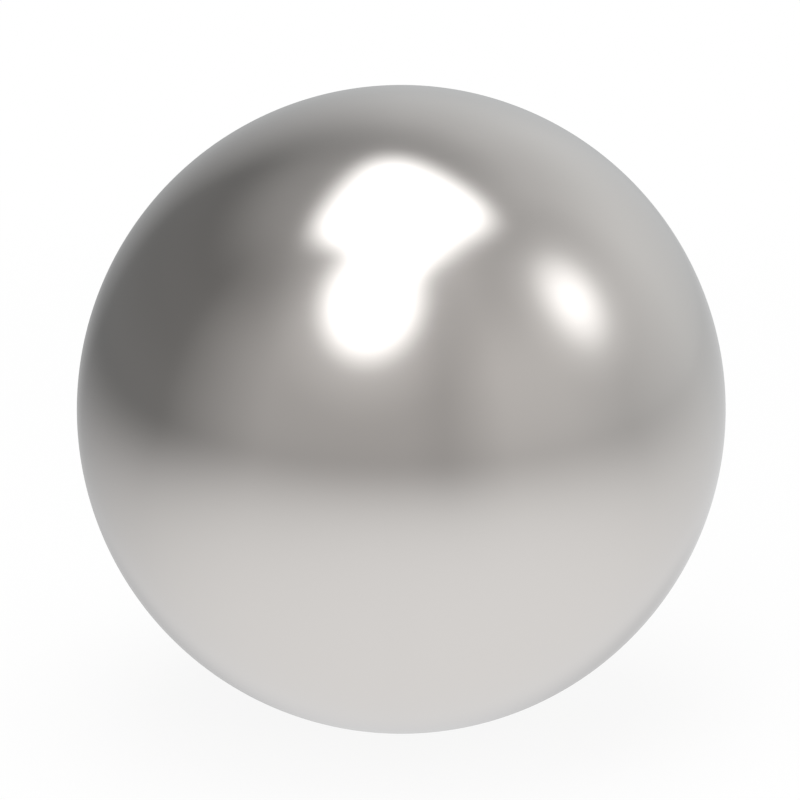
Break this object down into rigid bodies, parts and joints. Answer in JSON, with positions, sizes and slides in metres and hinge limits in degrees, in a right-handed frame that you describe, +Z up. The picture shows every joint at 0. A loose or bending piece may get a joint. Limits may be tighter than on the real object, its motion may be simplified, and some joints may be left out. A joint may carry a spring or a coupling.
{
  "type": "steel ball",
  "caption": "Solid polished steel sphere, plain all over, that rolls freely or sits in a cup, cone or race.",
  "frame": {"origin": "centre of the ball", "axes": "+Z up; every axis through the centre is an axis of symmetry, so the heading is free"},
  "size_m": [0.0254, 0.0254, 0.0254],
  "materials": {
    "steel": "gloss"
  },
  "bodies": {
    "root": {"ball": "steel"}
  },
  "joints": []
}
